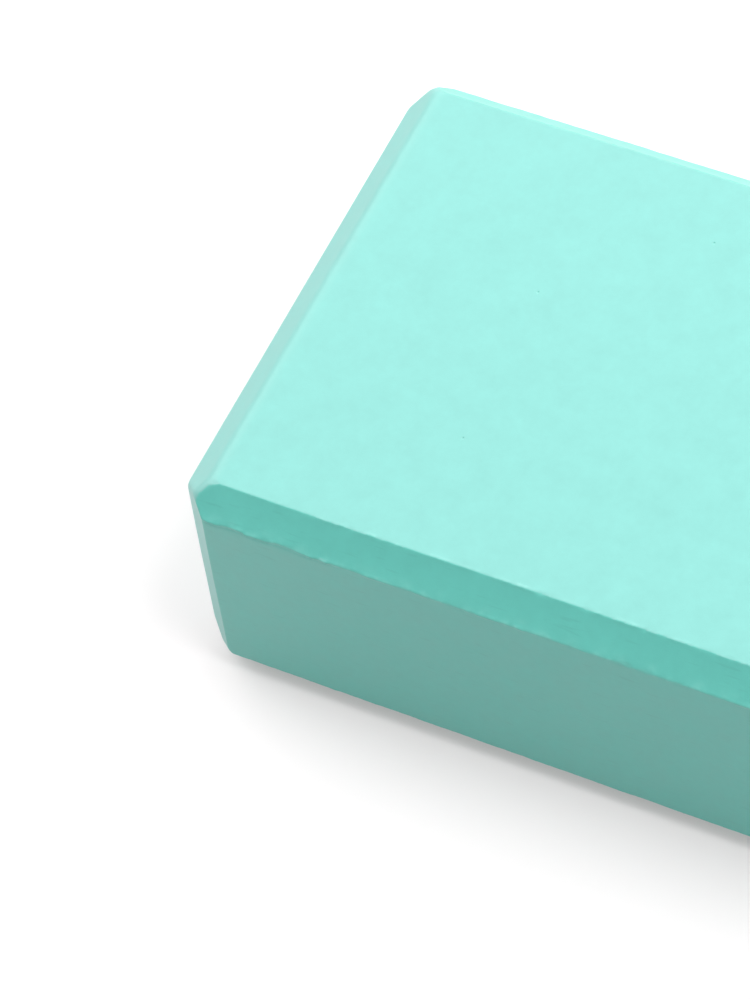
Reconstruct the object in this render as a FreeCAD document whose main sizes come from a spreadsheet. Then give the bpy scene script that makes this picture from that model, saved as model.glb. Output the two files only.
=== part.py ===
import FreeCAD, Part
import os
import Sketcher

# A foam yoga block: two equal foam slabs bonded back to back by a thin film.
# The outer edges of each slab and the upright corners are cut off at 45 degrees, so that
# three bevels meet in a mitre at every corner of the block.
# Millimetres. The origin is the middle of the face that the block rests on,
# with +X along the length, +Y across the width and +Z up.

# Driving dimensions
dimensions = [
    ("block_length", 228, "along X"),
    ("block_width", 152, "along Y"),
    ("slab_thickness", 37.9, "from a slab's bonded face to its outer face"),
    ("film_thickness", 0.2, "bond film between the two slabs"),
    ("long_edge_bevel", 7.4, "leg of the bevel on the long outer edges"),
    ("end_edge_bevel", 8.4, "leg of the bevel on the short outer edges"),
    ("corner_bevel", 9, "leg of the bevel down the upright corners"),
]

doc = FreeCAD.newDocument("yoga_block")
sheet = doc.addObject("Spreadsheet::Sheet", "dims")
for row, (alias, size, meaning) in enumerate(dimensions, start=1):
    sheet.set(f"A{row}", alias)
    sheet.set(f"B{row}", str(size))
    sheet.set(f"C{row}", meaning)
    sheet.setAlias(f"B{row}", alias)
doc.recompute()

# How a sketch numbers its origin, its two axes and the ends of a line
origin_point = (-1, 1)
across_axis_index = -1
up_axis_index = -2
start_index = 1
end_index = 2


def new_sketch(body, name, plane_role):
    sketch = body.newObject("Sketcher::SketchObject", name)
    plane = next(f for f in body.Origin.OriginFeatures if f.Role == plane_role)
    sketch.AttachmentSupport = [(plane, "")]
    sketch.MapMode = "FlatFace"
    return sketch


def closed_outline(sketch, corners):
    """Draws a closed outline through the corners and returns the number of its first line."""
    points = [FreeCAD.Vector(x, y, 0) for x, y in corners]
    first = sketch.GeometryCount
    count = len(points)
    for i in range(count):
        sketch.addGeometry(Part.LineSegment(points[i], points[(i + 1) % count]), False)
    for i in range(count):
        line = first + i
        following = first + (i + 1) % count
        sketch.addConstraint(Sketcher.Constraint("Coincident", line, end_index, following, start_index))
    return first


def mirror_ends(sketch, line_a, end_a, line_b, end_b, axis):
    sketch.addConstraint(Sketcher.Constraint("Symmetric", line_a, end_a, line_b, end_b, axis))


def dimension(sketch, name, direction, from_point, to_point, expression):
    """Adds a named dimension, driven by the sheet, between two points that are drawn that far apart."""
    gap = sketch.getPoint(*to_point) - sketch.getPoint(*from_point)
    drawn = gap.x if direction == "X" else gap.y
    index = sketch.addConstraint(Sketcher.Constraint("Distance" + direction, *from_point, *to_point, drawn))
    sketch.renameConstraint(index, name)
    sketch.setExpression("Constraints." + name, expression)


def block_outline(body):
    """The block seen from above: a rectangle with its four corners cut off."""
    sketch = new_sketch(body, "outline", "XY_Plane")
    half_length = sheet.block_length / 2
    half_width = sheet.block_width / 2
    inner_length = half_length - sheet.corner_bevel
    inner_width = half_width - sheet.corner_bevel
    closed_outline(sketch, [
        (-inner_length, -half_width),
        (inner_length, -half_width),
        (half_length, -inner_width),
        (half_length, inner_width),
        (inner_length, half_width),
        (-inner_length, half_width),
        (-half_length, inner_width),
        (-half_length, -inner_width),
    ])
    front, front_right, right, rear, left = 0, 1, 2, 4, 6
    mirror_ends(sketch, front, start_index, front, end_index, up_axis_index)
    mirror_ends(sketch, rear, start_index, rear, end_index, up_axis_index)
    mirror_ends(sketch, left, start_index, left, end_index, across_axis_index)
    mirror_ends(sketch, right, start_index, right, end_index, across_axis_index)
    mirror_ends(sketch, front, start_index, rear, end_index, across_axis_index)
    mirror_ends(sketch, right, start_index, left, end_index, up_axis_index)
    dimension(sketch, "length", "X", (left, start_index), (right, start_index), "dims.block_length")
    dimension(sketch, "width", "Y", (front, start_index), (rear, end_index), "dims.block_width")
    corner_ends = (front_right, start_index), (front_right, end_index)
    dimension(sketch, "bevel_along", "X", *corner_ends, "dims.corner_bevel")
    dimension(sketch, "bevel_across", "Y", *corner_ends, "dims.corner_bevel")
    return sketch


def pad(body, sketch, thickness):
    feature = body.newObject("PartDesign::Pad", "blank")
    feature.Profile = sketch
    feature.setExpression("Length", thickness)
    doc.recompute()


def bevel_opposite_edges(body, name, plane_role, across, bevel):
    """Cuts the bevel off both outer edges that run square to the plane, right through the slab."""
    sketch = new_sketch(body, name + "_section", plane_role)
    reach = sheet.get(across) / 2
    height = sheet.slab_thickness
    leg = sheet.get(bevel)
    near = closed_outline(sketch, [(reach, height), (reach - leg, height), (reach, height - leg)])
    far = closed_outline(sketch, [(-reach, height), (leg - reach, height), (-reach, height - leg)])
    top, slope, side = 0, 1, 2
    sketch.addConstraint(Sketcher.Constraint("Horizontal", near + top))
    sketch.addConstraint(Sketcher.Constraint("Vertical", near + side))
    sketch.addConstraint(Sketcher.Constraint("Equal", near + top, near + side))
    for line in (top, slope, side):
        mirror_ends(sketch, near + line, start_index, far + line, start_index, up_axis_index)
    edge_point = (near + top, start_index)
    dimension(sketch, "reach", "X", origin_point, edge_point, f"dims.{across} / 2")
    dimension(sketch, "height", "Y", origin_point, edge_point, "dims.slab_thickness")
    dimension(sketch, "leg", "X", (near + top, end_index), edge_point, f"dims.{bevel}")
    volume_before = body.Shape.Volume
    feature = body.newObject("PartDesign::Pocket", name)
    feature.Profile = sketch
    feature.Type = "ThroughAll"
    feature.SideType = "Symmetric"
    doc.recompute()
    if not body.Shape.Volume < volume_before:
        raise RuntimeError(name + " cut nothing from " + body.Label)


def foam_slab(label):
    """A foam board, bonded face down at height zero, with its outer edges bevelled."""
    body = doc.addObject("PartDesign::Body", label)
    body.Label = label
    pad(body, block_outline(body), "dims.slab_thickness")
    bevel_opposite_edges(body, "long_edges", "YZ_Plane", "block_width", "long_edge_bevel")
    bevel_opposite_edges(body, "end_edges", "XZ_Plane", "block_length", "end_edge_bevel")
    return body


# The lower slab lies on its outer face, so it is turned over
half_turn = 180
lower_slab = foam_slab("lower_foam_slab")
lower_slab.Placement.Rotation = FreeCAD.Rotation(FreeCAD.Vector(1, 0, 0), half_turn)
lower_slab.setExpression("Placement.Base.z", "dims.slab_thickness")

# The bond film lies between the slabs and ends flush with their sides
bond_film = doc.addObject("PartDesign::Body", "bond_film")
bond_film.Label = "bond_film"
pad(bond_film, block_outline(bond_film), "dims.film_thickness")
bond_film.setExpression("Placement.Base.z", "dims.slab_thickness")

# The upper slab lies on the film
upper_slab = foam_slab("upper_foam_slab")
upper_slab.setExpression("Placement.Base.z", "dims.slab_thickness + dims.film_thickness")

doc.recompute()
pieces = [upper_slab, bond_film, lower_slab]

for item in doc.Objects:
    if "Invalid" in item.State or "Error" in item.State:
        raise RuntimeError(f"{item.Label} failed: {item.State}")
for piece in pieces:
    if piece.Shape.isNull() or not piece.Shape.isValid():
        raise RuntimeError(piece.Label + " has no valid shape")

os.makedirs("parts", exist_ok=True)
for piece in pieces:
    box = piece.Shape.BoundBox
    print(f"{piece.Label}: {piece.Shape.Volume:.1f} cubic mm, from z {box.ZMin:.2f} to {box.ZMax:.2f}")
    piece.Shape.exportStep(f"parts/{piece.Label}.step")
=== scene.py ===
import math

import bmesh
import bpy
import numpy as np
from mathutils import Matrix, Vector
from mathutils.geometry import delaunay_2d_cdt


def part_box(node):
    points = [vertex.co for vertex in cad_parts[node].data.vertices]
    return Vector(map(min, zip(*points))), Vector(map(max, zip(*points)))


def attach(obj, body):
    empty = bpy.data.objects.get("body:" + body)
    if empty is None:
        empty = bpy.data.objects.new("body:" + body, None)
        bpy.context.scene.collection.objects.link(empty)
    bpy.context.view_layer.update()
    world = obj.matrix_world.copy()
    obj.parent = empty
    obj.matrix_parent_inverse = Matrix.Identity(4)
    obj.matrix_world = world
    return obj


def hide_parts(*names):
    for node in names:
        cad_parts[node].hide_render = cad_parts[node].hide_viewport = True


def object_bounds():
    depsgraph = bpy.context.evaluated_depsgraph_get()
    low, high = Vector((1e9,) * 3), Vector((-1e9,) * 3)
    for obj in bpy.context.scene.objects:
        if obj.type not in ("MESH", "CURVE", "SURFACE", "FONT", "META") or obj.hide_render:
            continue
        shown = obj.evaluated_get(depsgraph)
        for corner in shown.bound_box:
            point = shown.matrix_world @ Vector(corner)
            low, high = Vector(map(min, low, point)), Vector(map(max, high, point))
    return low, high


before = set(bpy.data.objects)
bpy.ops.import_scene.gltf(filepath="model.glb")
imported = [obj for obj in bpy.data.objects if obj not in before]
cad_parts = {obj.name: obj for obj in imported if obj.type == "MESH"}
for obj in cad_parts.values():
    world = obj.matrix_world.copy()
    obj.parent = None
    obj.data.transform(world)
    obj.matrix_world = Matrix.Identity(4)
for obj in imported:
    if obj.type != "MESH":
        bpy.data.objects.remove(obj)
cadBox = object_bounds()
scene = bpy.context.scene
mm = 0.001
touching = 0.01 * mm         # points closer than this lie on the same plane
tiny = 0.001 * mm            # points closer than this are the same point
squareOn = 0.9               # part of a normal along an axis, for a face that looks along it
diagonal = math.sqrt(0.5)    # the bevels are cut at 45 degrees
print("frame loaded:", ", ".join(sorted(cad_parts)))


# Sizes of the block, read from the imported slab

def readBlockSizes():
    low, high = cadBox
    corners = [v.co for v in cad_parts["upper_foam_slab"].data.vertices]
    onTop = [c for c in corners if high.z - c.z < touching]
    onSide = [c for c in corners if high.y - c.y < touching]
    return {
        "halfLength": (high.x - low.x) / 2,
        "halfWidth": (high.y - low.y) / 2,
        "halfHeight": (high.z - low.z) / 2,
        "endBevel": high.x - max(c.x for c in onTop),
        "longBevel": high.y - max(c.y for c in onTop),
        "cornerBevel": high.x - max(c.x for c in onSide),
    }


block = readBlockSizes()
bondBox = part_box("bond_film")
bondHeights = (bondBox[0].z, bondBox[1].z)
print("block sizes in mm:", {name: round(size / mm, 2) for name, size in block.items()})


# Node helpers

def feed(tree, socket, value):
    if isinstance(value, bpy.types.NodeSocket):
        tree.links.new(value, socket)
    else:
        socket.default_value = value


def feedAll(tree, node, values):
    for name, value in values.items():
        feed(tree, node.inputs[name], value)


def addNode(tree, kind, inputs=None, **settings):
    made = tree.nodes.new(kind)
    for name, value in settings.items():
        setattr(made, name, value)
    feedAll(tree, made, inputs or {})
    return made


def calc(tree, operation, *values):
    return addNode(tree, "ShaderNodeMath", dict(enumerate(values)), operation=operation).outputs[0]


def moveBy(tree, operation, *values):
    return addNode(tree, "ShaderNodeVectorMath", dict(enumerate(values)), operation=operation).outputs[0]


def scaleBy(tree, vector, factor):
    inputs = {"Vector": vector, "Scale": factor}
    return addNode(tree, "ShaderNodeVectorMath", inputs, operation="SCALE").outputs[0]


def split(tree, vector):
    return addNode(tree, "ShaderNodeSeparateXYZ", {"Vector": vector}).outputs


def fade(tree, value, start, end, low=0.0, high=1.0):
    # low up to start, high from end on, and a smooth change between
    inputs = {"Value": value, "From Min": start, "From Max": end, "To Min": low, "To Max": high}
    return addNode(tree, "ShaderNodeMapRange", inputs, interpolation_type="SMOOTHSTEP").outputs["Result"]


def noise(tree, position, perMetre, seed, detail=1.0, roughness=0.5):
    inputs = {"Vector": position, "W": seed, "Scale": perMetre, "Detail": detail, "Roughness": roughness}
    return addNode(tree, "ShaderNodeTexNoise", inputs, noise_dimensions="4D").outputs


def swing(tree, value):
    # a noise value from 0 to 1 made into one from -1 to 1
    return calc(tree, "MULTIPLY_ADD", value, 2.0, -1.0)


def readAttribute(tree, name):
    return addNode(tree, "GeometryNodeInputNamedAttribute", {"Name": name}).outputs[0]


def storeAttribute(tree, geometry, name, value):
    inputs = {"Geometry": geometry, "Name": name, "Value": value}
    kind = "GeometryNodeStoreNamedAttribute"
    return addNode(tree, kind, inputs, data_type="FLOAT", domain="POINT").outputs[0]


def newGroup(name, kind, inputs, outputs):
    tree = bpy.data.node_groups.new(name, kind)
    for label, kindOfSocket in inputs:
        tree.interface.new_socket(name=label, in_out="INPUT", socket_type="NodeSocket" + kindOfSocket)
    for label, kindOfSocket in outputs:
        tree.interface.new_socket(name=label, in_out="OUTPUT", socket_type="NodeSocket" + kindOfSocket)
    start = tree.nodes.new("NodeGroupInput")
    end = tree.nodes.new("NodeGroupOutput")
    return tree, start.outputs, end.inputs


def placeGroup(tree, group, inputs):
    kind = "GeometryNodeGroup" if tree.bl_idname == "GeometryNodeTree" else "ShaderNodeGroup"
    return addNode(tree, kind, inputs, node_tree=group).outputs


# Blank of a piece: each flat face of its solid as a fine net of triangles, closest along the cut edges

blankSettings = {
    "cutStep": 0.26 * mm,      # point spacing along a cut edge
    "faceStep": 2.4 * mm,      # in the middle of a face
    "bondStep": 5.0 * mm,      # across a bonded face, which is out of sight
    "growth": 0.26,            # how fast the spacing grows away from a cut edge
    "rimStep": 0.04 * mm,      # a close row beside the rim keeps the shading of the sides straight
    "levelRatio": 1.6,         # spacing of one lattice to the next
    "borderRoom": 0.62,        # steps that a lattice keeps clear of the face's border
    "netTolerance": 1e-9,      # of the triangles drawn between the points
    "merge": 0.002 * mm,       # how far apart two faces may put the point that they share
    "seed": 11,
    "pinholesPerFace": 5,      # strewn on each large face away from the camera
    "pinholeInset": 0.1,       # how far they are drawn to the middle of their face
    "pinholeRadius": (0.32 * mm, 0.42 * mm),
    "pinholeDepth": 0.6,       # times the radius, as the next two are
    "pinholeMouth": 1.2,
    "pinholeRoom": 2.3,
    "pinholeBowl": 1.5,        # power that rounds its rim
    # share of the radius and points of each ring; the outer rings keep the face around the hole straight
    "pinholeRings": [(0.0, 1), (0.35, 6), (0.7, 9), (1.0, 12), (1.25, 12), (1.5, 12), (1.9, 12)],
    "topPinholes": [(-52.65, 16.79), (-51.14, -32.65), (-16.70, 48.18)],   # places on the top in mm
}


def flatFaces(node):
    mesh = bmesh.new()
    mesh.from_mesh(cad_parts[node].data)
    bmesh.ops.remove_doubles(mesh, verts=mesh.verts, dist=tiny)
    bmesh.ops.dissolve_limit(mesh, angle_limit=math.radians(1), verts=mesh.verts, edges=mesh.edges)
    faces = [([v.co.copy() for v in f.verts], f.normal.copy()) for f in mesh.faces]
    mesh.free()
    return faces


def isBondHeight(z):
    return min(abs(z - height) for height in bondHeights) < touching


def edgeFractions(length, isRim):
    fine = blankSettings["cutStep"]
    if not isRim:
        return np.linspace(0, 1, max(1, round(length / fine)) + 1)
    half = [0.0]
    while half[-1] < length / 2:
        half.append(half[-1] + min(blankSettings["faceStep"], fine + blankSettings["growth"] * half[-1]))
    near = np.array(half) / half[-1] / 2
    return np.concatenate([near, 1 - near[-2::-1]])


def edgePoints(a, b, isRim):
    # the same points whichever face or piece asks for them
    first, last = sorted((a, b), key=lambda p: tuple(round(c / mm, 3) for c in p))
    length = (last - first).length
    fractions = list(edgeFractions(length, isRim))
    if not isRim and isBondHeight(first.z):
        fractions.insert(1, blankSettings["rimStep"] / length)
    if not isRim and isBondHeight(last.z):
        fractions.insert(-1, 1 - blankSettings["rimStep"] / length)
    points = [first.lerp(last, t) for t in fractions]
    if first is not a:
        points.reverse()
    return points[:-1]


def hexLattice(low, high, step):
    # corners of equal triangles
    rows = np.arange(low[1], high[1], step * math.sqrt(0.75))
    columns = np.arange(low[0], high[0], step)
    u, v = np.meshgrid(columns, rows)
    u[1::2] += step / 2
    return np.stack([u.ravel(), v.ravel()], 1)


def pinholePoints(radius):
    points = []
    for share, count in blankSettings["pinholeRings"]:
        for i in range(count):
            turn = 2 * math.pi * i / count
            points.append((radius * share * math.cos(turn), radius * share * math.sin(turn)))
    return points


def innerPoints(flat, inward, isCut, pinholes):
    # flat: the face's corners in its own plane; inward: the unit vector into the face from each edge
    s = blankSettings
    points = []
    step = s["cutStep"] if any(isCut) else s["bondStep"]
    largest = s["faceStep"] if any(isCut) else s["bondStep"]
    halfLevel = math.sqrt(s["levelRatio"])
    while step < largest * halfLevel:
        lattice = hexLattice(flat.min(0), flat.max(0), step)
        depth = np.stack([(lattice - corner) @ normal for corner, normal in zip(flat, inward)], 1)
        keep = depth.min(1) > s["borderRoom"] * step
        if any(isCut):
            wanted = np.minimum(s["faceStep"], s["cutStep"] + s["growth"] * depth[:, isCut].min(1))
            keep &= wanted >= step / halfLevel
            keep &= wanted < step * halfLevel
        for centre, radius in pinholes:
            keep &= np.linalg.norm(lattice - centre, axis=1) > s["pinholeRoom"] * radius
        points.append(lattice[keep])
        step *= s["levelRatio"]
    for centre, radius in pinholes:
        points.append(np.array(pinholePoints(radius)) + centre)
    return np.concatenate(points)


def denseFace(corners, normal, pinholes):
    origin = corners[0]
    across = (corners[1] - corners[0]).normalized()
    upward = normal.cross(across)

    def toPlane(p):
        return np.array([(p - origin).dot(across), (p - origin).dot(upward)])

    ends = corners[1:] + corners[:1]
    isRim = [isBondHeight(a.z) and isBondHeight(b.z) for a, b in zip(corners, ends)]
    border = [p for a, b, rim in zip(corners, ends, isRim) for p in edgePoints(a, b, rim)]
    inward = [toPlane(origin + normal.cross((b - a).normalized())) for a, b in zip(corners, ends)]
    isCut = np.array([not rim for rim in isRim])
    flat = np.array([toPlane(p) for p in corners])
    localPinholes = [(toPlane(centre), radius) for centre, radius in pinholes]
    inner = list(innerPoints(flat, inward, isCut, localPinholes))
    for a, b, rim, into in zip(corners, ends, isRim, inward):
        if rim:
            inner += [toPlane(p) + into * blankSettings["rimStep"] for p in edgePoints(a, b, True)[1:]]
    points = [Vector(toPlane(p)) for p in border] + [Vector(p) for p in inner]
    loop = [(i, (i + 1) % len(border)) for i in range(len(border))]
    insideOnly = 1
    made = delaunay_2d_cdt(points, loop, [], insideOnly, blankSettings["netTolerance"])
    return [origin + across * p.x + upward * p.y for p in made[0]], made[2]


def pinholesOn(corners, normal, draw):
    # where bubbles in the foam were cut open
    s = blankSettings
    spots = []
    if normal.z > squareOn:
        spots = [Vector((x * mm, y * mm, cadBox[1].z)) for x, y in s["topPinholes"]]
    isAway = max(normal.x, normal.y, -normal.z) > squareOn
    if isAway:
        centre = sum(corners, Vector()) / len(corners)
        for _ in range(s["pinholesPerFace"]):
            weights = draw.dirichlet(np.ones(len(corners)))
            spot = sum((c * w for c, w in zip(corners, weights)), Vector())
            spots.append(spot.lerp(centre, s["pinholeInset"]))
    return [(spot, draw.uniform(*s["pinholeRadius"])) for spot in spots]


def addPointAttributes(mesh, skin, holes):
    s = blankSettings
    position = np.zeros(len(mesh.vertices) * 3)
    mesh.vertices.foreach_get("co", position)
    position = position.reshape(-1, 3)
    depth = np.zeros(len(position))
    for centre, radius in holes:
        share = np.linalg.norm(position - np.array(centre), axis=1) / (s["pinholeMouth"] * radius)
        bowl = np.clip(1 - share ** 2, 0, 1) ** s["pinholeBowl"]
        depth = np.maximum(depth, s["pinholeDepth"] * radius * bowl)
    for name, values in (("skin", np.array(skin, float)), ("pinhole", depth)):
        attribute = mesh.attributes.new(name, "FLOAT", "POINT")
        attribute.data.foreach_set("value", values)


def mergeSeams(mesh):
    # the rim's points come once from the bonded face and once from the side, and stay skin
    merged = bmesh.new()
    merged.from_mesh(mesh)
    layer = merged.verts.layers.float["skin"]
    order = sorted(merged.verts, key=lambda v: -v[layer])
    bmesh.ops.remove_doubles(merged, verts=order, dist=blankSettings["merge"])
    merged.to_mesh(mesh)
    merged.free()


def markRimAsSkin(mesh):
    # a point on the rim of a bonded face moves with the side that it belongs to
    skin = mesh.attributes["skin"]
    for face in mesh.polygons:
        heights = [mesh.vertices[i].co.z for i in face.vertices]
        if max(heights) - min(heights) > tiny:
            for i in face.vertices:
                skin.data[i].value = 1.0


def makeBlank(name, node, seed):
    draw = np.random.default_rng(blankSettings["seed"] + seed)
    points = []
    faces = []
    skin = []
    holes = []
    for corners, normal in flatFaces(node):
        isBonded = all(isBondHeight(c.z) for c in corners)
        isFilm = node == "bond_film"
        here = [] if isBonded or isFilm else pinholesOn(corners, normal, draw)
        newPoints, newFaces = denseFace(corners, normal, here)
        faces += [[i + len(points) for i in f] for f in newFaces]
        points += newPoints
        skin += [not isBonded] * len(newPoints)
        holes += here
    mesh = bpy.data.meshes.new(name)
    mesh.from_pydata(points, [], faces)
    addPointAttributes(mesh, skin, holes)
    mergeSeams(mesh)
    markRimAsSkin(mesh)
    piece = bpy.data.objects.new(name, mesh)
    scene.collection.objects.link(piece)
    counts = f"{len(mesh.vertices)} points, {len(mesh.polygons)} triangles, {len(holes)} pinholes"
    print("blank:", name, counts)
    return piece


# Shape of the foam: bevelled planes joined by soft edges, with the unevenness of hand-finished foam

foamSettings = {
    "edgeSoftness": 0.26 * mm,   # how far two faces blend at an edge
    "faceSoftness": 2.4 * mm,    # the same where an end bevel meets the top or underside
    "endSoftness": 1.0 * mm,     # where it meets the end
    "mitreSoftness": 2.4 * mm,   # where two bevels meet at a corner
    "cornerSoftness": 2.0 * mm,  # where an upright corner meets the end
    "waviness": 0.14 * mm,       # slow bow of each face
    "hollow": 0.15 * mm,         # how far the long bevels are cut hollow
    "proud": 0.10 * mm,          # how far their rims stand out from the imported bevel
    "waver": 0.11 * mm,          # how far the blade rose and sank along the upper bevels
    "slipPlace": 27.0 * mm - block["halfLength"],   # where it did so most
    "lump": 0.015 * mm,          # shallow lumps
    "tear": 0.60 * mm,           # fine raggedness of the long edges
    "tearReach": 0.70 * mm,
    "lip": 0.10 * mm,            # foam that the blade pushed over the side or took back from it
    "seed": 4.0,
}
ownNames = ["lump", "tear", "tearReach", "lip"]
pathNames = ["slipPlace", "halfHeight", "seed"]
sizeNames = list(block) + [name for name in foamSettings if name not in ownNames]
sizeSockets = [(name, "Float") for name in sizeNames]

# added to the seed for each kind of unevenness
seedShifts = {
    "bows": (0.0, 10.0),
    "slowPath": -2.0,
    "longTears": 20.0,
    "shortTears": 25.0,
    "patches": 30.0,
    "lumps": 40.0,
    "streaks": 50.0,
    "roughRim": 70.0,
}
planeSettings = {
    "bowsPerMetre": 21.0,
    "rimReach": 5.0 * mm,                     # how far up a bevel the blade's path shows
    "mitreSoftens": (-2.2 * mm, -0.3 * mm),   # distance to the end bevel where long edges soften
    "footSoftens": (-2.5 * mm, -0.3 * mm),    # the same to an upright corner, below the next height
    "footHeight": 20.0 * mm,
    "probe": 0.05 * mm,                       # step that the slope is measured over
    "settleRounds": 3,
}
bladeSettings = {
    "alongEdge": (1.0, 0.1, 0.1),           # the path changes along the length
    "slowPerMetre": 140.0,
    "slowBand": (0.36, 0.64),
    "quickPerMetre": 620.0,
    "quickShare": 0.6,
    "steadies": (14.0 * mm, 34.0 * mm),     # how far from the slip the blade grows steady
    "steadyShare": 0.2,
    "rearShare": 0.3,
    "lipBand": (0.05, 0.6),                 # how low the rim lies where it makes a lip
    "grooveEnds": (12.0 * mm, 26.0 * mm),   # how far from the slip the groove under the rim ends
    "grooveShare": 0.7,
    "grooveDrop": 0.45 * mm,                # below the rim
    "grooveWidth": 0.4 * mm,
    "grooveDepth": 0.22 * mm,
    "lipEases": 2.5 * mm,
    "roughRim": 0.2 * mm,
    "roughPerMetre": 1000.0,
    "cutFacing": 0.3,                       # how far a normal leans to the side on what the blade cut
}
tornSettings = {
    "stretch": (1.0, 1.0, 2.4),           # torn cells are long and thin
    "longPerMetre": 150.0,
    "longShare": 0.75,
    "shortPerMetre": 480.0,
    "shortShare": 0.6,
    "patchesPerMetre": 45.0,
    "patchBand": (0.38, 0.62),
    "betweenPatches": 0.45,
    "endRoom": (8.0 * mm, 10.5 * mm),     # the mitres are clear of tears
    "rearShare": 0.45,
    "lowerShare": 0.35,
    "faceShare": 0.7,                     # at the edge of the top, where the side's is 1
    "lumpsPerMetre": 190.0,
    # the pale flecks set below are a painted highlight, and the pale streaks up the bevel are partly
    # scuffs and partly painted light
    "highlightBand": (0.05, 0.45),
    "highlightShare": 0.55,
    "streakReach": 2.6 * mm,               # up the bevel
    "streaksPerMetre": 240.0,
    "streakBand": (0.45, 0.75),
    "streakShare": 0.45,
}


def buildBladePath():
    # from -1 where the bevel's lower rim lies high to 1 where it lies low
    s = bladeSettings
    tree, given, result = newGroup(
        "bladePath", "GeometryNodeTree",
        [("position", "Vector")] + [(name, "Float") for name in pathNames],
        [("path", "Float"), ("fromSlip", "Float")],
    )
    place = split(tree, given["position"])
    alongEdge = moveBy(tree, "MULTIPLY", given["position"], s["alongEdge"])
    slowSeed = calc(tree, "ADD", given["seed"], seedShifts["slowPath"])
    slow = noise(tree, alongEdge, s["slowPerMetre"], slowSeed)["Fac"]
    quick = noise(tree, alongEdge, s["quickPerMetre"], given["seed"], detail=2.0)["Fac"]
    path = fade(tree, slow, *s["slowBand"], -1.0, 1.0)
    path = calc(tree, "MULTIPLY_ADD", swing(tree, quick), s["quickShare"], path)
    fromSlip = calc(tree, "ABSOLUTE", calc(tree, "SUBTRACT", place["X"], given["slipPlace"]))
    unsteady = fade(tree, fromSlip, *s["steadies"], 1.0, s["steadyShare"])
    isUpper = calc(tree, "GREATER_THAN", place["Z"], given["halfHeight"])
    frontOrRear = fade(tree, place["Y"], -mm, mm, 1.0, s["rearShare"])
    unsteady = calc(tree, "MULTIPLY", unsteady, calc(tree, "MULTIPLY", isUpper, frontOrRear))
    feed(tree, result["path"], calc(tree, "MULTIPLY", path, unsteady))
    feed(tree, result["fromSlip"], fromSlip)
    return tree


def buildBlockDistance(bladePath):
    # how far a point lies outside the block, and how far from the two edges of a long bevel
    s = planeSettings
    tree, given, result = newGroup(
        "blockDistance", "GeometryNodeTree",
        [("position", "Vector")] + sizeSockets,
        [("distance", "Float"), ("sideEdge", "Float"), ("faceEdge", "Float")],
    )
    place = split(tree, given["position"])
    x = calc(tree, "ABSOLUTE", place["X"])
    y = calc(tree, "ABSOLUTE", place["Y"])
    z = calc(tree, "ABSOLUTE", calc(tree, "SUBTRACT", place["Z"], given["halfHeight"]))
    bows = []
    for shift in seedShifts["bows"]:
        seed = calc(tree, "ADD", given["seed"], shift)
        bows += split(tree, noise(tree, given["position"], s["bowsPerMetre"], seed)["Color"])[:]

    def plane(reach, bow, *parts):
        # parts added up, less how far out the plane lies
        total = parts[0]
        for part in parts[1:]:
            total = calc(tree, "ADD", total, part)
        out = calc(tree, "SUBTRACT", total, reach)
        if len(parts) > 1:
            out = calc(tree, "MULTIPLY", out, diagonal)
        return calc(tree, "MULTIPLY_ADD", swing(tree, bow), given["waviness"], out)

    def cornerReach(a, b, bevel):
        return calc(tree, "SUBTRACT", calc(tree, "ADD", given[a], given[b]), given[bevel])

    def bevelShare(way):
        inputs = {0: way, 1: given["longBevel"]}
        return addNode(tree, "ShaderNodeMath", inputs, operation="DIVIDE", use_clamp=True).outputs[0]

    end = plane(given["halfLength"], bows[0], x)
    side = plane(given["halfWidth"], bows[1], y)
    face = plane(given["halfHeight"], bows[2], z)
    endCut = plane(cornerReach("halfLength", "halfHeight", "endBevel"), bows[3], x, z)
    longCut = plane(cornerReach("halfWidth", "halfHeight", "longBevel"), bows[4], y, z)
    cornerCut = plane(cornerReach("halfLength", "halfWidth", "cornerBevel"), bows[5], x, y)

    # each long bevel is cut a little hollow, all of it halfway up, and its lower rim follows the blade
    upBevel = calc(tree, "SUBTRACT", longCut, side)
    downBevel = calc(tree, "SUBTRACT", longCut, face)
    halfway = calc(tree, "MULTIPLY", bevelShare(upBevel), bevelShare(downBevel))
    dip = calc(tree, "MULTIPLY", halfway, 4.0)
    longCut = calc(tree, "SUBTRACT", longCut, given["proud"])
    longCut = calc(tree, "MULTIPLY_ADD", dip, given["hollow"], longCut)
    pathInputs = {name: given[name] for name in ["position"] + pathNames}
    path = placeGroup(tree, bladePath, pathInputs)["path"]
    atRim = fade(tree, upBevel, 0.0, s["rimReach"], given["waver"], 0.0)
    longCut = calc(tree, "MULTIPLY_ADD", path, atRim, longCut)

    # the long edges grow softer towards the mitres that they end in, and at the worn lower corners
    nearMitre = fade(tree, endCut, *s["mitreSoftens"])
    isLow = calc(tree, "LESS_THAN", place["Z"], s["footHeight"])
    nearFoot = calc(tree, "MULTIPLY", fade(tree, cornerCut, *s["footSoftens"]), isLow)
    worn = calc(tree, "MAXIMUM", nearMitre, nearFoot)
    longSoftness = calc(tree, "MULTIPLY_ADD", worn, given["mitreSoftness"], given["edgeSoftness"])
    joins = [
        (endCut, given["faceSoftness"]),
        (end, given["endSoftness"]),
        (cornerCut, given["cornerSoftness"]),
        (longCut, longSoftness),
        (side, given["edgeSoftness"]),
    ]
    distance = face
    for part, softness in joins:
        distance = calc(tree, "SMOOTH_MAX", distance, part, softness)
    feed(tree, result["distance"], distance)
    feed(tree, result["sideEdge"], calc(tree, "SUBTRACT", longCut, side))
    feed(tree, result["faceEdge"], calc(tree, "ABSOLUTE", calc(tree, "SUBTRACT", longCut, face)))
    return tree


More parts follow.
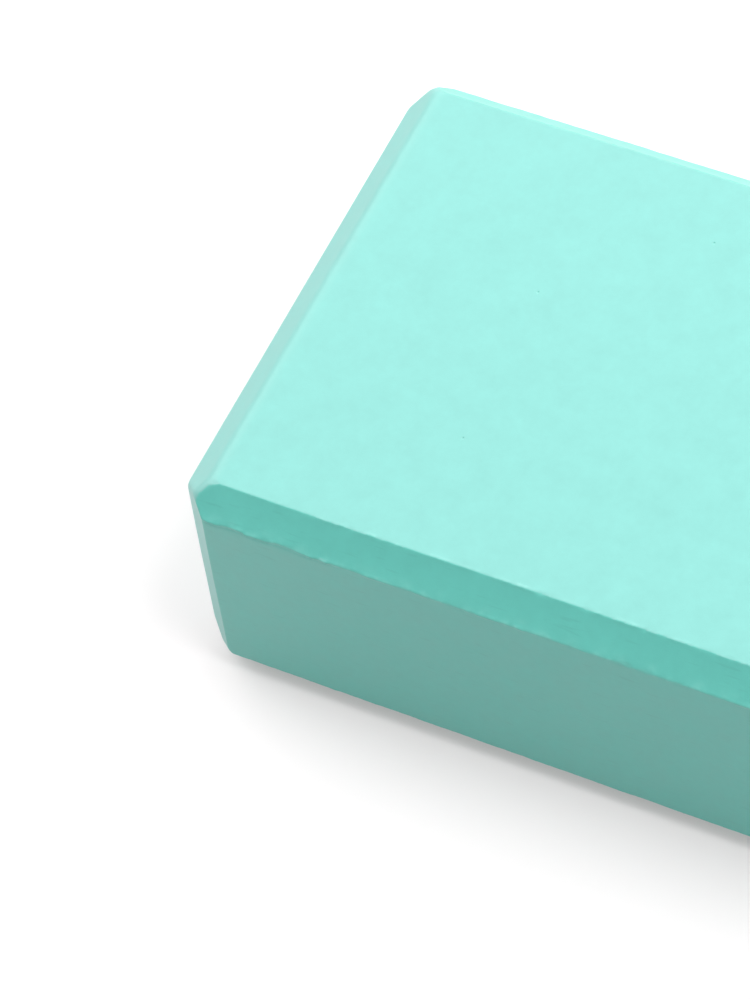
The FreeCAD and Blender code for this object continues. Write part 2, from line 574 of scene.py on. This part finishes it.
def buildSettle(blockDistance):
    # moves each point of the skin along the slope onto the surface that stands its lift above the block
    tree, given, result = newGroup(
        "settleOnBlock", "GeometryNodeTree",
        [("geometry", "Geometry")] + sizeSockets,
        [("geometry", "Geometry")],
    )
    sizes = {name: given[name] for name in sizeNames}
    position = addNode(tree, "GeometryNodeInputPosition").outputs[0]
    here = placeGroup(tree, blockDistance, {"position": position, **sizes})["distance"]
    probe = planeSettings["probe"]
    slope = addNode(tree, "ShaderNodeCombineXYZ")
    for axis, step in enumerate(((probe, 0, 0), (0, probe, 0), (0, 0, probe))):
        moved = moveBy(tree, "ADD", position, step)
        there = placeGroup(tree, blockDistance, {"position": moved, **sizes})["distance"]
        feed(tree, slope.inputs[axis], calc(tree, "SUBTRACT", there, here))
    outward = moveBy(tree, "NORMALIZE", slope.outputs[0])
    skin = readAttribute(tree, "skin")
    onto = calc(tree, "MULTIPLY", calc(tree, "SUBTRACT", readAttribute(tree, "lift"), here), skin)
    # points of a bonded face are only drawn in where the rim has come inside them
    inside = calc(tree, "MINIMUM", calc(tree, "SUBTRACT", -blankSettings["rimStep"], here), 0.0)
    way = calc(tree, "MULTIPLY_ADD", inside, calc(tree, "SUBTRACT", 1.0, skin), onto)
    inputs = {"Geometry": given["geometry"], "Offset": scaleBy(tree, outward, way)}
    feed(tree, result["geometry"], addNode(tree, "GeometryNodeSetPosition", inputs).outputs[0])
    return tree


def buildFoamShape():
    s = tornSettings
    blade = bladeSettings
    bladePath = buildBladePath()
    blockDistance = buildBlockDistance(bladePath)
    settle = buildSettle(blockDistance)
    ownSockets = [(name, "Float") for name in ownNames]
    materials = [("skinMaterial", "Material"), ("cutMaterial", "Material")]
    tree, given, result = newGroup(
        "foamShape", "GeometryNodeTree",
        [("geometry", "Geometry")] + sizeSockets + ownSockets + materials,
        [("geometry", "Geometry")],
    )
    sizes = {name: given[name] for name in sizeNames}
    position = addNode(tree, "GeometryNodeInputPosition").outputs[0]
    place = split(tree, position)
    edges = placeGroup(tree, blockDistance, {"position": position, **sizes})
    pathInputs = {name: given[name] for name in pathNames}
    path, fromSlip = placeGroup(tree, bladePath, {"position": position, **pathInputs})[:2]

    def ownNoise(where, perMetre, kind, detail=1.0):
        seed = calc(tree, "ADD", given["seed"], seedShifts[kind])
        return noise(tree, where, perMetre, seed, detail)["Fac"]

    def times(first, *others):
        for other in others:
            first = calc(tree, "MULTIPLY", first, other)
        return first

    # how much of the raggedness a place has: all of it along the upper front edges, away from the mitres
    fromEnd = calc(tree, "SUBTRACT", given["halfLength"], calc(tree, "ABSOLUTE", place["X"]))
    clearOfEnd = fade(tree, fromEnd, *s["endRoom"])
    frontOrRear = fade(tree, place["Y"], -mm, mm, 1.0, s["rearShare"])
    underMiddle = calc(tree, "SUBTRACT", given["halfHeight"], mm)
    upperOrLower = fade(tree, place["Z"], underMiddle, given["halfHeight"], s["lowerShare"], 1.0)
    onLongEdge = times(clearOfEnd, frontOrRear, upperOrLower)

    # torn cells along the long edges: long and thin, strongest between bevel and side, in patches
    sideGap = calc(tree, "ABSOLUTE", edges["sideEdge"])
    sideTorn = fade(tree, sideGap, 0.0, given["tearReach"], 1.0, 0.0)
    faceTorn = fade(tree, edges["faceEdge"], 0.0, given["tearReach"], 1.0, 0.0)
    stretched = moveBy(tree, "MULTIPLY", position, s["stretch"])
    longTears = swing(tree, ownNoise(position, s["longPerMetre"], "longTears"))
    shortTears = swing(tree, ownNoise(stretched, s["shortPerMetre"], "shortTears", detail=2.0))
    ragged = calc(tree, "MULTIPLY_ADD", longTears, s["longShare"], times(shortTears, s["shortShare"]))
    patches = ownNoise(position, s["patchesPerMetre"], "patches")
    patchy = times(fade(tree, patches, *s["patchBand"], s["betweenPatches"], 1.0), onLongEdge)
    torn = times(calc(tree, "MULTIPLY_ADD", faceTorn, s["faceShare"], sideTorn), patchy)
    lumps = swing(tree, ownNoise(position, s["lumpsPerMetre"], "lumps"))
    lift = calc(tree, "MULTIPLY_ADD", lumps, given["lump"], times(torn, ragged, given["tear"]))
    lift = calc(tree, "SUBTRACT", lift, readAttribute(tree, "pinhole"))

    # under a lip, and near the slip, the side is drawn in a little
    path = times(path, onLongEdge)
    nearSlip = times(fade(tree, fromSlip, *blade["grooveEnds"], blade["grooveShare"], 0.0), onLongEdge)
    isUnderLip = calc(tree, "MAXIMUM", fade(tree, path, *blade["lipBand"]), nearSlip)
    fromGroove = calc(tree, "ABSOLUTE", calc(tree, "ADD", edges["sideEdge"], blade["grooveDrop"]))
    drawnIn = times(fade(tree, fromGroove, 0.0, blade["grooveWidth"], 1.0, 0.0), isUnderLip)
    lift = calc(tree, "MULTIPLY_ADD", drawnIn, -blade["grooveDepth"], lift)

    # pale flecks on the torn cells that stand out along the long edges, which are a painted highlight;
    # and a pale streaky band up the bevel from its lower edge, which is partly scuffs and partly painted
    # light
    highlightFleck = times(torn, fade(tree, shortTears, *s["highlightBand"], 0.0, s["highlightShare"]))
    onBevel = calc(tree, "GREATER_THAN", edges["sideEdge"], 0.0)
    band = times(fade(tree, edges["sideEdge"], 0.0, s["streakReach"], 1.0, 0.0), onBevel)
    streaks = ownNoise(stretched, s["streaksPerMetre"], "streaks", detail=3.0)
    streaks = fade(tree, streaks, *s["streakBand"])
    scuffAndLight = times(band, streaks, times(onLongEdge, s["streakShare"]))
    highlightsAndScuffs = calc(tree, "MAXIMUM", highlightFleck, scuffAndLight)

    # how far the lower rim of the bevel slides down over the side, or back up
    lipEased = fade(tree, sideGap, 0.0, blade["lipEases"], 1.0, 0.0)
    pushed = times(calc(tree, "MAXIMUM", path, 0.0), sideTorn)
    takenBack = times(calc(tree, "MINIMUM", path, 0.0), lipEased)
    lip = times(calc(tree, "ADD", pushed, takenBack), given["lip"])
    rough = swing(tree, ownNoise(position, blade["roughPerMetre"], "roughRim"))
    lip = calc(tree, "MULTIPLY_ADD", times(rough, times(sideTorn, onLongEdge)), blade["roughRim"], lip)

    shape = given["geometry"]
    # the pale mask stored here for the material is painted highlight on the flecks, and partly scuffs,
    # partly painted light in the band up the bevel
    for name, value in (("lift", lift), ("highlightsAndScuffs", highlightsAndScuffs), ("lip", lip)):
        shape = storeAttribute(tree, shape, name, value)
    for _ in range(planeSettings["settleRounds"]):
        shape = placeGroup(tree, settle, {"geometry": shape, **sizes})["geometry"]

    outward = split(tree, addNode(tree, "GeometryNodeInputNormal").outputs[0])
    overMiddle = calc(tree, "SUBTRACT", place["Z"], given["halfHeight"])
    level = addNode(tree, "ShaderNodeCombineXYZ", {"X": outward["X"], "Y": outward["Y"]}).outputs[0]
    downTheSide = times(calc(tree, "SIGN", overMiddle), -1.0)
    hang = addNode(tree, "ShaderNodeCombineXYZ", {"Z": downTheSide}).outputs[0]
    along = moveBy(tree, "ADD", moveBy(tree, "NORMALIZE", level), hang)
    lipMove = {"Geometry": shape, "Offset": scaleBy(tree, along, readAttribute(tree, "lip"))}
    shape = addNode(tree, "GeometryNodeSetPosition", lipMove).outputs[0]
    shape = addNode(tree, "GeometryNodeSetShadeSmooth", {"Geometry": shape}).outputs[0]
    for name in ("lift", "lip", "skin", "pinhole"):
        shape = addNode(tree, "GeometryNodeRemoveAttribute", {"Geometry": shape, "Name": name}).outputs[0]

    # the blade cut the long sides and their bevels
    sideways = calc(tree, "ABSOLUTE", outward["Y"])
    facesSide = calc(tree, "SUBTRACT", sideways, calc(tree, "ABSOLUTE", outward["X"]))
    isCut = calc(tree, "GREATER_THAN", facesSide, blade["cutFacing"])
    whole = addNode(tree, "GeometryNodeRealizeInstances", {"Geometry": shape}).outputs[0]
    skin = {"Geometry": whole, "Material": given["skinMaterial"]}
    skinned = addNode(tree, "GeometryNodeSetMaterial", skin).outputs[0]
    cut = {"Geometry": skinned, "Selection": isCut, "Material": given["cutMaterial"]}
    feed(tree, result["geometry"], addNode(tree, "GeometryNodeSetMaterial", cut).outputs[0])
    return tree


def setInputs(modifier, values):
    for item in modifier.node_group.interface.items_tree:
        if item.item_type == "SOCKET" and item.in_out == "INPUT" and item.name in values:
            modifier[item.identifier] = values[item.name]


def shapeFoam(piece, tree, values):
    modifier = piece.modifiers.new("foamShape", "NODES")
    modifier.node_group = tree
    setInputs(modifier, values)
    evaluated = piece.evaluated_get(bpy.context.evaluated_depsgraph_get())
    shaped = bpy.data.meshes.new_from_object(evaluated)
    shaped.name = piece.name
    piece.modifiers.remove(modifier)
    piece.data = shaped
    print("shaped:", piece.name, len(shaped.vertices), "points")


# Finish of the foam

finishSettings = {
    "skin": {"dye": (0.139, 0.455, 0.410, 1.0), "cellsPerMetre": 3200.0, "bump": 0.12},
    "cut": {"dye": (0.088, 0.478, 0.409, 1.0), "cellsPerMetre": 2600.0, "bump": 0.18},
    # pale colour of the painted highlights on the torn cells, and of the band up the bevels, which is
    # partly scuffs and partly painted light
    "highlightAndScuffDye": (0.22, 0.62, 0.555, 1.0),
    "bumpDistance": 0.05 * mm,
    "domeReach": 0.75,                # how far a cell's dome reaches, in cells
    "grainPerMetre": 5200.0,
    "grainSeed": 2.0,
    "grainShare": 0.5,
    "clouding": 0.13,                 # how far the dye varies
    "slowCloudsPerMetre": 130.0,
    "slowCloudsSeed": 5.0,
    "slowCloudsShare": 0.7,
    "quickCloudsPerMetre": 420.0,
    "quickCloudsSeed": 6.0,
    "quickCloudsShare": 0.3,
    "bladeStrokes": 0.07,             # how much darker the strokes of the blade are
    "strokesPerMetre": 1000.0,
    "strokesSeed": 9.0,
    "strokeStretch": (0.12, 1.0, 1.0),
    "strokeBand": (0.62, 0.74),
    "roughness": (0.43, 0.57),        # from cloud to cloud
    "cloudBand": (0.2, 0.8),
    "specular": 0.6,
    "coatRoughness": 0.5,             # the foam's dull skin
    "coatIor": 1.5,
}


def buildFoamCells():
    # closed cells, just visible: low domes with a finer grain over them
    s = finishSettings
    tree, given, result = newGroup(
        "foamCells", "ShaderNodeTree",
        [("position", "Vector"), ("cellsPerMetre", "Float")],
        [("height", "Float")],
    )
    inputs = {"Vector": given["position"], "Scale": given["cellsPerMetre"]}
    cells = addNode(tree, "ShaderNodeTexVoronoi", inputs, feature="F1")
    grain = noise(tree, given["position"], s["grainPerMetre"], s["grainSeed"], detail=2.0)["Fac"]
    dome = fade(tree, cells.outputs["Distance"], 0.0, s["domeReach"], 1.0, 0.0)
    feed(tree, result["height"], calc(tree, "MULTIPLY_ADD", grain, s["grainShare"], dome))
    return tree


def buildFoamColour():
    # the dye is even, apart from faint clouds, strokes of the blade, and a pale colour along the edges:
    # painted highlights on the torn cells, and a band up the bevels that is partly scuffs and partly
    # painted light
    s = finishSettings
    colours = [("dye", "Color"), ("torn", "Color")]
    masks = [("highlightsAndScuffs", "Float"), ("clouding", "Float"), ("strokes", "Float")]
    tree, given, result = newGroup(
        "foamColour", "ShaderNodeTree",
        [("position", "Vector")] + colours + masks,
        [("colour", "Color"), ("clouds", "Float")],
    )
    position = given["position"]
    slow = noise(
        tree, position, s["slowCloudsPerMetre"], s["slowCloudsSeed"], detail=4.0, roughness=0.7,
    )["Fac"]
    quick = noise(tree, position, s["quickCloudsPerMetre"], s["quickCloudsSeed"], detail=2.0)["Fac"]
    clouds = calc(tree, "MULTIPLY", swing(tree, quick), s["quickCloudsShare"])
    clouds = calc(tree, "MULTIPLY_ADD", swing(tree, slow), s["slowCloudsShare"], clouds)
    shade = calc(tree, "MULTIPLY_ADD", clouds, given["clouding"], 1.0)
    drawnOut = moveBy(tree, "MULTIPLY", position, s["strokeStretch"])
    stroke = noise(tree, drawnOut, s["strokesPerMetre"], s["strokesSeed"])["Fac"]
    stroke = fade(tree, stroke, *s["strokeBand"])
    shade = calc(tree, "SUBTRACT", shade, calc(tree, "MULTIPLY", stroke, given["strokes"]))
    # the pale colour mixed in here is painted highlight, and partly scuffs in the band up the bevels
    inputs = {"Factor": given["highlightsAndScuffs"], "A": scaleBy(tree, given["dye"], shade), "B": given["torn"]}
    mixed = addNode(tree, "ShaderNodeMix", inputs, data_type="RGBA")
    feed(tree, result["colour"], mixed.outputs["Result"])
    feed(tree, result["clouds"], slow)
    return tree


def foamMaterial(name, finish, strokes):
    s = finishSettings
    material = bpy.data.materials.new(name)
    material.use_nodes = True
    tree = material.node_tree
    position = addNode(tree, "ShaderNodeTexCoord").outputs["Object"]
    # the pale colour and the mask read below are painted highlight on the torn cells, and partly scuffs,
    # partly painted light up the bevels
    colour = placeGroup(tree, foamColour, {
        "position": position,
        "dye": finish["dye"],
        "torn": s["highlightAndScuffDye"],
        "highlightsAndScuffs": addNode(tree, "ShaderNodeAttribute", attribute_name="highlightsAndScuffs").outputs["Fac"],
        "clouding": s["clouding"],
        "strokes": strokes,
    })
    cells = placeGroup(tree, foamCells, {"position": position, "cellsPerMetre": finish["cellsPerMetre"]})
    relief = addNode(tree, "ShaderNodeBump", {
        "Strength": finish["bump"],
        "Distance": s["bumpDistance"],
        "Height": cells["height"],
    })
    feedAll(tree, tree.nodes["Principled BSDF"], {
        "Base Color": colour["colour"],
        "Roughness": fade(tree, colour["clouds"], *s["cloudBand"], *s["roughness"]),
        "Normal": relief.outputs[0],
        "Specular IOR Level": s["specular"],
        "Coat Weight": 1.0,
        "Coat Roughness": s["coatRoughness"],
        "Coat IOR": s["coatIor"],
    })
    return material


foamCells = buildFoamCells()
foamColour = buildFoamColour()
skinFoam = foamMaterial("skinFoam", finishSettings["skin"], 0.0)
cutFoam = foamMaterial("cutFoam", finishSettings["cut"], finishSettings["bladeStrokes"])
bondEnd = foamMaterial("bondEnd", finishSettings["skin"], 0.0)
bondEdge = foamMaterial("bondEdge", finishSettings["cut"], 0.0)
print("materials made:", skinFoam.name, cutFoam.name, bondEnd.name, bondEdge.name)


# The three pieces

pieceTable = [
    # piece, node that it replaces, slot, material of its faces, material of its cut sides, seed
    ("upperFoam", "upper_foam_slab", "foam", skinFoam, cutFoam, 1),
    ("bondLine", "bond_film", "bond", bondEnd, bondEdge, 2),
    ("lowerFoam", "lower_foam_slab", "foam", skinFoam, cutFoam, 3),
]
foamShape = buildFoamShape()
for name, node, slotName, faceMaterial, sideMaterial, seed in pieceTable:
    piece = makeBlank(name, node, seed)
    materials = {"skinMaterial": faceMaterial, "cutMaterial": sideMaterial}
    shapeFoam(piece, foamShape, {**block, **foamSettings, **materials})
    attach(piece, "root")
    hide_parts(node)


# Studio: pale floor, soft lamps and the camera

studioSettings = {
    "floorSize": 6.0,
    "floorColour": 0.6,
    "floorRoughness": 0.9,
    "floorSeen": 0.63,           # its colour to the camera, as in an overexposed picture
    "overExposure": (0.305, 0.260, 0.266, 1.0),
    "floorGlow": 0.34,           # share of the overexposure that lights the block
    "clearFloor": (0.55, 0.95),  # how far out the floor turns to plain white
    "farExposure": 3.6,
    "worldColour": (1.0, 1.0, 1.0, 1.0),
    "worldStrength": 0.39,
    "aim": (-0.03, 0.0, 0.04),
    "lampDistance": 1.4,
    "lampSize": 1.0,
    # azimuth, elevation, radiance
    "lamps": [
        (90, 60, 5.75),
        (270, 60, 1.58),
        (90, 30, 0.50),
        (135, 30, 1.92),
        (180, 30, 3.69),
        (225, 30, 2.36),
        (270, 30, 2.73),
    ],
}
cameraSettings = {
    "azimuth": 32.637,
    "elevation": 54.515,
    "roll": -8.781,
    "aim": (-0.092912, -0.012761, 0.0),
    "distance": 1.354701,
    "lens": 180.317,
    "sensor": 36.0,
    "farthest": 50.0,
}


def direction(azimuth, elevation):
    # azimuth 0 is the front, 90 the right end
    a, e = math.radians(azimuth), math.radians(elevation)
    return Vector((math.sin(a) * math.cos(e), -math.cos(a) * math.cos(e), math.sin(e)))


def addFloor():
    s = studioSettings
    half = s["floorSize"] / 2
    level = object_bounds()[0].z
    corners = [(-half, -half, level), (half, -half, level), (half, half, level), (-half, half, level)]
    mesh = bpy.data.meshes.new("studioFloor")
    mesh.from_pydata(corners, [], [(0, 1, 2, 3)])
    floor = bpy.data.objects.new("studioFloor", mesh)
    scene.collection.objects.link(floor)
    material = bpy.data.materials.new("studioFloor")
    material.use_nodes = True
    tree = material.node_tree
    seen = addNode(tree, "ShaderNodeLightPath").outputs["Is Camera Ray"]
    place = addNode(tree, "ShaderNodeTexCoord").outputs["Object"]
    away = addNode(tree, "ShaderNodeVectorMath", {0: place}, operation="LENGTH").outputs["Value"]
    exposure = fade(tree, away, *s["clearFloor"], 1.0, s["farExposure"])
    feedAll(tree, tree.nodes["Principled BSDF"], {
        "Base Color": fade(tree, seen, 0.0, 1.0, s["floorColour"], s["floorSeen"]),
        "Roughness": s["floorRoughness"],
        "Specular IOR Level": 0.0,
        "Emission Color": s["overExposure"],
        "Emission Strength": fade(tree, seen, 0.0, 1.0, s["floorGlow"], exposure),
    })
    mesh.materials.append(material)


def addLamps():
    s = studioSettings
    discArea = math.pi * s["lampSize"] ** 2 / 4
    for azimuth, elevation, radiance in s["lamps"]:
        name = f"softLamp{azimuth}_{elevation}"
        data = bpy.data.lights.new(name, "AREA")
        data.shape = "DISK"
        data.size = s["lampSize"]
        data.energy = radiance * math.pi * discArea
        lamp = bpy.data.objects.new(name, data)
        lamp.visible_camera = False
        scene.collection.objects.link(lamp)
        towards = direction(azimuth, elevation)
        lamp.location = Vector(s["aim"]) + towards * s["lampDistance"]
        lamp.rotation_mode = "QUATERNION"
        lamp.rotation_quaternion = towards.to_track_quat("Z", "Y")


def addWorld():
    world = bpy.data.worlds.new("studioWorld")
    world.use_nodes = True
    background = world.node_tree.nodes["Background"]
    background.inputs["Color"].default_value = studioSettings["worldColour"]
    background.inputs["Strength"].default_value = studioSettings["worldStrength"]
    scene.world = world


def addCamera():
    s = cameraSettings
    data = bpy.data.cameras.new("photoCamera")
    data.lens = s["lens"]
    data.sensor_width = s["sensor"]
    data.clip_end = s["farthest"]
    camera = bpy.data.objects.new("photoCamera", data)
    scene.collection.objects.link(camera)
    back = direction(s["azimuth"], s["elevation"])
    level = Vector((0, 0, 1)).cross(back).normalized()
    upright = back.cross(level)
    roll = math.radians(s["roll"])
    right = level * math.cos(roll) + upright * math.sin(roll)
    upward = back.cross(right)
    turn = Matrix((right, upward, back)).transposed().to_4x4()
    camera.matrix_world = Matrix.Translation(Vector(s["aim"]) + back * s["distance"]) @ turn
    scene.camera = camera


addFloor()
addLamps()
addWorld()
addCamera()
scene.view_settings.view_transform = "Standard"
print("studio set:", len(studioSettings["lamps"]), "lamps")
